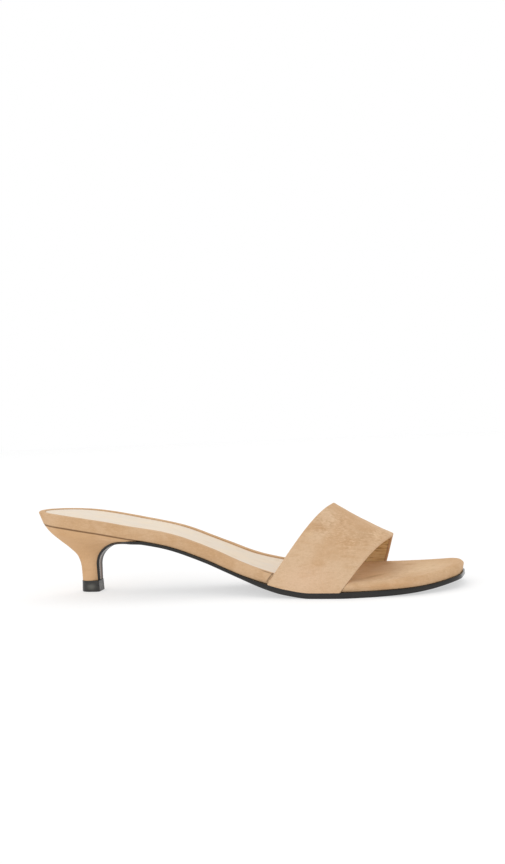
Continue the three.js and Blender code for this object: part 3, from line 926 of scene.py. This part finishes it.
def make_outsole(material):
    top_gap = GAP - SEAM
    shares = np.linspace(1, 0, FLAP_SECTIONS, endpoint=False)
    points, normals = on_flap(shares)
    thickness = follow(FLAP, "thickness", shares) + top_gap
    flap = {"lateral": [], "medial": []}
    for side, sign in SIGNS.items():
        for tuck, depth in sole_edges(thickness):
            spot = points + normals * (depth - top_gap)[:, None]
            y = sign * (flap_half(shares, side) - tuck)
            flap[side].append(np.column_stack([spot[:, 0], y, spot[:, 1]]))
    down = np.stack(flap["lateral"] + flap["medial"][::-1], axis=1)
    forward = np.column_stack([normals[:, 0], 0 * shares, normals[:, 1]])
    down = hollowed(down, forward, FLAP_HOLLOW * smoothstep(shares, *FLAP_HOLLOW_GROWS))
    places = stations(FLAP_START, FOOTBED_LENGTH, [FLAP_START])
    edges = sole_edges(follow(WALL, "sole", along_of(places)) + top_gap)
    rings = [
        (lambda x, t=tuck: t + 0 * x, lambda x, d=depth: -SEAM - d) for tuck, depth in edges
    ]
    under = plate(places, rings, reach=sole_reach)
    under = hollowed(under, np.zeros((len(under), 3)), np.zeros(len(under)))
    piece = mesh_from("outsole_painted", np.concatenate([down, under]), caps=(True, False))
    dress(piece, material, "outsole")


# Heel
SEAT_BACK = BACK_UNDERCUT + BOTTOM_EDGE_RADIUS
HEEL_COLUMNS = 44
HEEL_SECTIONS = 72


def section_shape(share, front_share, front_turn):
    """Share of the half width along a section with a round back and a turned-in front"""
    back = np.sqrt(np.clip(1 - (1 - share / BACK_TURN) ** 2, 0, 1))
    front = 1 - (1 - front_share) * (np.clip(share - BACK_TURN, 0, 1) / (1 - BACK_TURN)) ** front_turn
    return np.where(share < BACK_TURN, back, front)


def section_shares(steps, crowding=0.8):
    """Shares of a section's length, closer together at its round back"""
    even = np.linspace(0, 1, steps + 1)
    return lerp(even, 1 - np.cos(even * math.pi / 2), crowding)


def seat_half(x, side):
    past = np.maximum((x - SEAT_BACK) / (HEEL_END - SEAT_BACK) * HEEL_END, 0)
    return round_ends(past, side) * (half_width(x, side) - undercut(x) - BOTTOM_EDGE_RADIUS)


def heel_section(level, shares):
    def row(column):
        return float(follow(HEEL, column, level))

    tip_back = BREAST_FROM_BACK - GAP - TIP_LENGTH
    point, normal = on_flap(np.array(row("flap")))
    front = point - normal * SEAM
    back_x = lerp(tip_back, SEAT_BACK, row("back"))
    back_z = lerp(TIP_FLOOR, underside(SEAT_BACK) - GAP, row("rise"))
    spread = row("spread")
    x = lerp(back_x, front[0], shares)
    z = lerp(back_z, front[1], shares)
    seat = underside(x) - SEAM
    z = seat if level == 1 else lerp(z, np.minimum(seat, z), level**4)
    tip_half = TIP_WIDTH / 2 * section_shape(shares, FLAP_FOOT_WIDTH / TIP_WIDTH, HEEL_FRONT_TURN)
    past = np.clip((shares - BACK_TURN) / (1 - BACK_TURN), 0, 1)
    loop = {}
    for name, sign in SIGNS.items():
        front_plain = lerp(FLAP_FOOT_WIDTH / 2, seat_half(FLAP_START, name), spread)
        front_half = min(flap_half(row("flap"), name) - SOLE_MARGIN, front_plain)
        plain = lerp(tip_half, seat_half(lerp(SEAT_BACK, FLAP_START, shares), name), spread)
        y = sign * (plain - (front_plain - front_half) * past**2)
        loop[name] = np.column_stack([x, y, z])
    return np.concatenate([loop["lateral"], loop["medial"][::-1]])


def make_heel(material):
    shares = section_shares(HEEL_COLUMNS)
    loops = [heel_section(level, shares) for level in np.linspace(0, 1, HEEL_SECTIONS)]
    piece = mesh_from("heel_suede", loops, caps=(True, True), relief=suede_relief(0.06, 9.3))
    dress(piece, material, "heel")


# Top lift
LIFT_BEVEL = 0.35
LIFT_TOP_ROUND = 0.15
LIFT_COLUMNS = 40


def make_top_lift(material):
    shares = section_shares(LIFT_COLUMNS)

    def section(height, flare):
        back = BREAST_FROM_BACK - GAP - TIP_LENGTH - LIFT_MARGIN - flare
        half = TIP_WIDTH / 2 + LIFT_MARGIN + flare
        y = half * section_shape(shares, 1 - LIFT_CORNER, LIFT_FRONT_TURN)
        x = lerp(back, lift_front(flare), shares)
        z = np.full_like(x, height)
        near = np.column_stack([x, -y, z])
        far = np.column_stack([x, y, z])
        return np.concatenate([near, far[::-1]])

    levels = []
    for turn in np.radians(np.linspace(0, 90, 5)):
        levels.append((LIFT_BEVEL * (1 - math.cos(turn)), LIFT_FLARE - LIFT_BEVEL * (1 - math.sin(turn))))
    for share in np.linspace(0.15, 0.9, 6):
        levels.append((LIFT_HEIGHT * share, LIFT_FLARE * (1 - share)))
    for turn in np.radians(np.linspace(0, 90, 4)):
        levels.append((
            LIFT_HEIGHT + GAP - SEAM - LIFT_TOP_ROUND * (1 - math.sin(turn)),
            -LIFT_TOP_ROUND * (1 - math.cos(turn)),
        ))
    piece = mesh_from("top_lift_rubber", [section(*level) for level in levels], caps=(True, True))
    dress(piece, material, "top_lift")


# Strap
def on_strap(turn, across):
    """Outer face of the strap: turn runs over the arch from -1, the lateral foot, to 1, the medial
    foot, and across from 0, the rear edge, to 1, the front edge"""
    turn, across = np.broadcast_arrays(np.asarray(turn, float), np.asarray(across, float))

    def row(column):
        return lerp(*STRAP[column], across)

    climb = 1 - np.abs(turn)
    foot = {}
    for side, sign in SIGNS.items():
        x = row(side) * FOOTBED_LENGTH
        foot[side] = (x, sign * (half_width(x, side) + STRAP_PROUD), underside(x))
    foot_x, foot_y, foot_z = (
        np.where(turn < 0, near, far) for near, far in zip(foot["lateral"], foot["medial"])
    )
    sag = 4 * CROWN_SAG * across * (1 - across)
    crown_x = row("crown") * FOOTBED_LENGTH
    crown_z = BALL_UNDERSIDE + lerp(STRAP_RISE, STRAP_FRONT_RISE, across) - sag
    angle = climb * math.pi / 2

    def ease(value):
        return np.hypot(value, CROWN_EASE) ** row("lean") - CROWN_EASE ** row("lean")

    power = 2 / row("squareness")
    return np.stack([
        foot_x + (crown_x - foot_x) * (1 - ease(1 - climb) / ease(1)),
        CROWN_OFFSET + (foot_y - CROWN_OFFSET) * np.clip(np.cos(angle), 0, 1) ** power,
        foot_z + (crown_z - foot_z) * np.sin(angle),
    ], axis=-1)


def strap_frame(turn, across):
    """Outward normal and forward direction over the breadth at places on the strap"""
    step = 1e-3
    centre = np.clip(turn, step - 1, 1 - step)
    over = on_strap(centre + step, across) - on_strap(centre - step, across)
    ahead = on_strap(centre, across + step) - on_strap(centre, across - step)
    normal = unit(np.cross(ahead, over))
    forward = unit(ahead - normal * np.sum(ahead * normal, axis=-1, keepdims=True))
    return normal, forward, np.linalg.norm(ahead, axis=-1) / (2 * step)


# Rounding of the strap's folded edges, how far in from them the lining starts, and its own edges
STRAP_EDGE = 0.9
FOLD_BAND = 1.4
FOLD_STEP = 0.4
LINING_WALL = 0.55
LINING_GAP = 0.05
LINING_EDGE = 0.2

# Fineness of the strap's meshes
STRAP_STEPS = 64
EDGE_STEPS = 9
OUTER_COLUMNS = 56
INNER_COLUMNS = 20
LINING_COLUMNS = 40
CUTTER_STEPS = 40
CUTTER_COLUMNS = 24
FOOT_CROWDING = 1.05


def strap_places(steps):
    """Turns over the arch, closer together near the feet"""
    even = np.linspace(-1, 1, 2 * steps + 1)
    return np.sign(even) * (1 - (1 - np.abs(even)) ** FOOT_CROWDING)


def seat_feet(loops, drop):
    """Sets the first and last loops on the sole"""
    for end in (0, -1):
        loops[end][:, 2] = underside(loops[end][:, 0]) - drop
    return loops


def strap_sections(turns, path):
    """Points, normals and shares across of all sections. Each step of the path is an inset in mm from
    the rear or the front edge, or a share across, and an offset in mm from the outer face."""
    kinds = np.array([kind for kind, _, _ in path])
    places = np.array([place for _, place, _ in path])
    offsets = np.array([offset for _, _, offset in path])
    turns = turns[:, None]
    _, _, rear_breadth = strap_frame(turns, 0.0)
    _, _, front_breadth = strap_frame(turns, 1.0)
    across = np.where(kinds == "rear", places / rear_breadth, places)
    across = np.where(kinds == "front", 1 - places / front_breadth, across)
    normals, _, _ = strap_frame(np.broadcast_to(turns, across.shape), across)
    return on_strap(turns, across) + normals * offsets[:, None], normals, across


def both_edges(steps):
    """Steps round the front edge, and the same steps back round the rear one"""
    front = [("front", place, offset) for place, offset in steps]
    rear = [("rear", place, offset) for place, offset in steps[::-1]]
    return front, rear


# Creases of the strap: ends as (turn, across), half width and depth in mm. A positive depth
# is a trough and a negative one a ridge.
CREASES = (
    ((-0.50, 0.06), (-0.42, 0.30), 1.9, 0.34),
    ((-0.49, 0.38), (-0.43, 0.60), 2.0, 0.30),
    ((-0.45, 0.10), (-0.37, 0.32), 1.7, -0.18),
    ((-0.60, 0.30), (-0.52, 0.56), 3.0, -0.20),
    ((-0.76, 0.10), (-0.70, 0.34), 3.4, 0.22),
    ((-0.24, 0.52), (-0.14, 0.86), 4.0, 0.26),
    ((-0.86, 0.20), (-0.78, 0.66), 4.6, -0.24),
    ((0.30, 0.20), (0.44, 0.62), 4.4, 0.28),
    ((0.56, 0.34), (0.66, 0.78), 3.8, -0.24),
    ((0.74, 0.16), (0.82, 0.52), 3.6, 0.24),
)

# Half length over the arch and breadth that scale the creases and folds
STRAP_ARC = 62
STRAP_BREADTH = 43

# Relief of the strap in mm. It fades out over the last share of the way to its feet.
RELIEF_FADE = 0.06
LUMP_HEIGHT = 0.16
FINE_LUMP_HEIGHT = 0.07
LINING_LUMP_HEIGHT = 0.08
FOLD_HEIGHT = 0.16
FOLD_PITCH = 1.25
FOLD_DRIFT = 2.2
FOLDS_GROW = (0.15, 0.5)


def crease_depth(turns, across):
    """Depth of the listed creases at places on the strap, in mm"""
    scale = np.array([STRAP_ARC, STRAP_BREADTH])
    here = np.stack([turns, across], axis=-1) * scale
    depth = np.zeros(across.shape)
    for start, end, half, deep in CREASES:
        origin = start * scale
        run = end * scale - origin
        share = np.clip((here - origin) @ run / (run @ run), 0, 1)
        away = np.linalg.norm(here - origin - run * share[..., None], axis=-1)
        depth += deep * np.sin(math.pi * (0.15 + 0.7 * share)) * np.exp(-((away / half) ** 2))
    return depth


def shell_path():
    """Section of the suede shell: outer face, folded front edge, inner face, folded rear edge"""
    low = LINING_WALL + LINING_GAP - STRAP_WALL
    outer = [("share", s, 0.0) for s in np.linspace(0, 1, OUTER_COLUMNS)[2:-2]]
    inner = [("share", s, low) for s in np.linspace(1, 0, INNER_COLUMNS)[2:-2]]
    edge = [
        (STRAP_EDGE * (1 - math.sin(t)), STRAP_WALL / 2 * (math.cos(t) - 1))
        for t in np.linspace(0, math.pi, EDGE_STEPS)
    ]
    edge += [(FOLD_BAND, -STRAP_WALL), (FOLD_BAND + FOLD_STEP, low)]
    front, rear = both_edges(edge)
    return outer + front + inner + rear


def lining_path():
    """Section of the lining: the face on the shell, then the face towards the foot"""
    low = -STRAP_WALL + LINING_WALL
    start = FOLD_BAND + FOLD_STEP / 2
    shares = np.linspace(0, 1, LINING_COLUMNS)[2:-2]
    against = [("share", s, low) for s in shares]
    inside = [("share", s, -STRAP_WALL) for s in shares[::-1]]
    edge = [(start, low), (start, LINING_EDGE - STRAP_WALL), (start + LINING_EDGE, -STRAP_WALL)]
    front, rear = both_edges(edge)
    return against + front + inside + rear


def shell_relief(points, turns, across):
    """Height of the outer face's lumps and creases, in mm"""
    lumps = LUMP_HEIGHT * wavers(points, 13, 2.7) + FINE_LUMP_HEIGHT * wavers(points, 5, 5.2)
    return lumps - crease_depth(turns, across)


def lining_relief(points, turns, across):
    """Height of the lining's fine folds, which run along the strap's breadth and drift, in mm"""
    arc = turns * STRAP_ARC
    ahead = across * STRAP_BREADTH
    drift = FOLD_DRIFT * wavers(np.stack([ahead / 11, arc / 14, 0 * arc + 0.4], axis=-1), 1)
    folds = wavers(np.stack([(arc + drift) / FOLD_PITCH, ahead / 17, 0 * arc + 3.3], axis=-1), 1)
    grown = smoothstep(np.abs(arc) / STRAP_ARC, *FOLDS_GROW)
    return FOLD_HEIGHT * folds * grown + LINING_LUMP_HEIGHT * wavers(points, 9, 6.1)


def make_strap_layer(name, path, raised, relief, smooth_angle, material):
    """One layer of the strap, lofted over the arch, with relief on the face that is raised"""
    turns = strap_places(STRAP_STEPS)
    fade = np.minimum(1, (1 - np.abs(turns)) / RELIEF_FADE)[:, None]
    points, normals, across = strap_sections(turns, path)
    face = np.array([raised(offset) for _, _, offset in path])
    height = relief(points, np.broadcast_to(turns[:, None], across.shape), across)
    points += normals * (fade * face * height)[..., None]
    layer = mesh_from(name, seat_feet(points, GAP - SEAM), smooth_angle=smooth_angle)
    close_ends(layer)
    dress(layer, material, "upper")


def make_strap(shell_material, lining_material):
    make_strap_layer(
        "strap_suede", shell_path(), lambda offset: offset > -STRAP_WALL / 2,
        shell_relief, 50, shell_material,
    )
    make_strap_layer(
        "strap_lining", lining_path(), lambda offset: offset == -STRAP_WALL,
        lining_relief, 60, lining_material,
    )


def close_ends(piece):
    """Fills the open ends of a lofted band"""
    bm = bmesh.new()
    bm.from_mesh(piece.data)
    border = [edge for edge in bm.edges if len(edge.link_faces) == 1]
    filled = bmesh.ops.holes_fill(bm, edges=border, sides=0)
    bmesh.ops.triangulate(bm, faces=filled["faces"])
    bmesh.ops.recalc_face_normals(bm, faces=bm.faces)
    bm.to_mesh(piece.data)
    bm.free()


def strap_cutter():
    """Plain wall of the strap, a seam wider all round, that is cut from the footbed"""
    turns = strap_places(CUTTER_STEPS)[:, None]
    _, _, breadth = strap_frame(turns, 0.5)
    across = lerp(-SEAM / breadth, 1 + SEAM / breadth, np.linspace(0, 1, CUTTER_COLUMNS))
    normals, _, _ = strap_frame(np.broadcast_to(turns, across.shape), across)
    face = on_strap(turns, across)
    outer = face + normals * STRAP_WALL
    inner = face - normals * (STRAP_WALL + SEAM)
    loops = seat_feet(np.concatenate([outer, inner[:, ::-1]], axis=1), 0)
    ends = loops[[0, -1]].copy()
    ends[..., 2] = underside(ends[..., 0]) - CUT_BELOW
    return mesh_from("strap_cutter", np.concatenate([ends[:1], loops, ends[1:]]), caps=(True, True))


# Light and floor. A lamp has a name, its place and size in mm round the part's origin, and its watts.
WORLD_STRENGTH = 0.85
LAMPS = (
    ("overhead", (-300, 700, 1300), (1000, 700), 3.7),
    ("front", (-300, -1500, 900), (1500, 900), 4.6),
)
LAMP_AIM = (0, 0, 20)
FLOOR_TONE = 0.45
FLOOR_GLOW = 0.56
FLOOR_REACH = 1500


def add_lamp(name, place, size, watts):
    data = bpy.data.lights.new(name, "AREA")
    data.shape = "RECTANGLE"
    data.size, data.size_y = (s * MM for s in size)
    data.energy = watts
    lamp = add_object(name, data)
    position = Vector(place) * MM
    lamp.location = position
    lamp.rotation_euler = (Vector(LAMP_AIM) * MM - position).to_track_quat("-Z", "Y").to_euler()


def light_studio():
    """White backdrop that lights the shoe a little less than it shows, and two soft lamps"""
    world = bpy.data.worlds.new("studio")
    world.use_nodes = True
    tree = world.node_tree
    backdrop = tree.nodes["Background"]
    backdrop.inputs["Color"].default_value = (1, 1, 1, 1)
    seen = tree.nodes.new("ShaderNodeLightPath").outputs["Is Camera Ray"]
    strength = tree.nodes.new("ShaderNodeMapRange")
    tree.links.new(seen, strength.inputs["Value"])
    strength.inputs["To Min"].default_value = WORLD_STRENGTH
    strength.inputs["To Max"].default_value = 1
    tree.links.new(strength.outputs[0], backdrop.inputs["Strength"])
    bpy.context.scene.world = world
    for lamp in LAMPS:
        add_lamp(*lamp)
    bpy.context.scene.view_settings.view_transform = "Standard"
    bpy.context.scene.view_settings.look = "None"


def lay_floor():
    reach = FLOOR_REACH * MM
    corners = [(-reach, -reach, 0), (reach, -reach, 0), (reach, reach, 0), (-reach, reach, 0)]
    mesh = bpy.data.meshes.new("floor")
    mesh.from_pydata(corners, [], [range(4)])
    look = Look(
        "floor",
        Base_Color=(FLOOR_TONE, FLOOR_TONE, FLOOR_TONE, 1),
        Roughness=0.9,
        Specular_IOR_Level=0.1,
        Emission_Color=(1, 1, 1, 1),
        Emission_Strength=FLOOR_GLOW,
    )
    mesh.materials.append(look.material)
    add_object("floor", mesh)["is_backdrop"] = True


# Marks: centre and radii in mm, shade and strength, and turn and tilt in degrees where it has any
STRAP_MARKS_AND_PAINTED_SHEEN = (
    ((173.7, -20.6, 37.3), (8, 9, 4.5), srgb(188, 144, 98), 0.5),
    ((191.4, -22.9, 29.1), (7, 8, 4), srgb(192, 150, 106), 0.45),
    ((197, -14, 31), (10, 14, 8), srgb(190, 152, 112), 0.5),
    ((168, -37, 11), (24, 10, 13), srgb(228, 193, 163), 0.4),
    # Painted sheen highlight along the rolled front edge at the crown
    ((204, -8, 31), (3.5, 14, 4), srgb(230, 199, 162), 0.5),
    ((168, -24, 34), (4, 3, 2), srgb(226, 192, 150), 0.4),
)
FOOTBED_MARKS_AND_PAINTED_LIGHT = (
    # Painted light: the forefoot's top lighter than its wall
    ((224, 2, 10.5), (36, 36, 4), srgb(226, 198, 162), 0.72),
    # Painted shade on the outer wall at the waist
    ((95, -24, 26), (60, 6, 16), srgb(196, 156, 116), 0.35),
    # Painted shade on the lower wall round the toe
    ((222, -37, 6), (30, 7, 3.2), srgb(200, 150, 100), 0.55),
    # Painted light that lightens the strap's shadow on the forefoot
    ((203, -14, 9), (14, 22, 4), srgb(232, 194, 148), 0.6),
    # Painted shadow beside the strap's front edge on the forefoot
    ((202, -18, 9), (18, 4, 3), srgb(156, 112, 72), 0.55, -61, 0),
    ((214.5, -3.6, 9.6), (7, 1.8, 2), srgb(230, 200, 164), 0.65, 3, 0),
    ((217.8, -26, 9.8), (6, 0.9, 2), srgb(148, 104, 64), 0.6, 45, 0),
    ((218, 20.5, 9.7), (7, 4, 2), srgb(180, 138, 96), 0.6, 30, 0),
    # Painted shadow along the strap's rear foot and along the sock's edge beside it
    ((147.3, -31, 12.5), (9, 3, 0.9), srgb(60, 36, 18), 0.95, 0, 51),
    ((144.5, -30.2, 14.5), (9, 0.8, 2.8), srgb(74, 44, 22), 0.85, 21.7, 0),
)
SOLE_PAINTED_REFLECTIONS = (
    # Painted reflection: a warm grey streak down the front of the flap
    ((36.6, 0, 12), (3.2, 3.2, 19), srgb(128, 100, 80), 1),
)
LIFT_PAINTED_HIGHLIGHTS = (
    # Painted highlight on the lift's near side
    ((31.5, -5.5, 3.2), (4.2, 3, 2.8), srgb(102, 102, 95), 0.75),
    # Painted reflection on the lift's front face
    ((37.5, -1, 3.6), (2, 6, 4), srgb(134, 130, 126), 0.6),
)
HEEL_PAINTED_LIGHT = (
    # Painted light on the near side of the heel's neck
    ((31, -5, 14), (9, 5, 14), srgb(216, 178, 137), 0.5),
)

# Where the nap is rippled: centre and radii in mm
STRAP_RIPPLES = (
    ((180, -16, 38), (24, 30, 17)),
    ((192, -22, 29), (18, 22, 13)),
    ((203, -6, 30), (15, 26, 12)),
)
FOOTBED_RIPPLES = (
    ((226, -6, 10), (34, 32, 7)),
    ((211, -24, 9), (26, 18, 7)),
)

# The pieces
strap_material = suede(
    "suede_strap", srgb(207, 170, 132), srgb(216, 184, 150), srgb(196, 156, 114),
    marks=STRAP_MARKS_AND_PAINTED_SHEEN, ripples=STRAP_RIPPLES,
)
wall_material = suede(
    "suede_footbed", srgb(204, 166, 126), srgb(212, 177, 140), srgb(190, 149, 107),
    # Painted shadow along the bottom of the wall at the heel's seam
    marks=FOOTBED_MARKS_AND_PAINTED_LIGHT, seam_shadow_heights=(0.75, 0.15), ripples=FOOTBED_RIPPLES,
)
heel_material = suede(
    "suede_heel", srgb(208, 168, 126), srgb(214, 175, 135), srgb(198, 156, 113),
    # Painted shadow along the top of the heel at its seam with the footbed
    marks=HEEL_PAINTED_LIGHT, seam_shadow_heights=(-0.9, -0.35),
)
make_outsole(painted_sole(SOLE_PAINTED_REFLECTIONS))
make_heel(heel_material)
make_top_lift(lift_rubber(LIFT_PAINTED_HIGHLIGHTS))
make_footbed(wall_material)
make_sock(sock_leather())
make_strap(strap_material, lining_leather())
light_studio()
lay_floor()

{name: [list(c) for c in box] for name, box in (("cad", cad_bounds), ("visual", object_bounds()))}
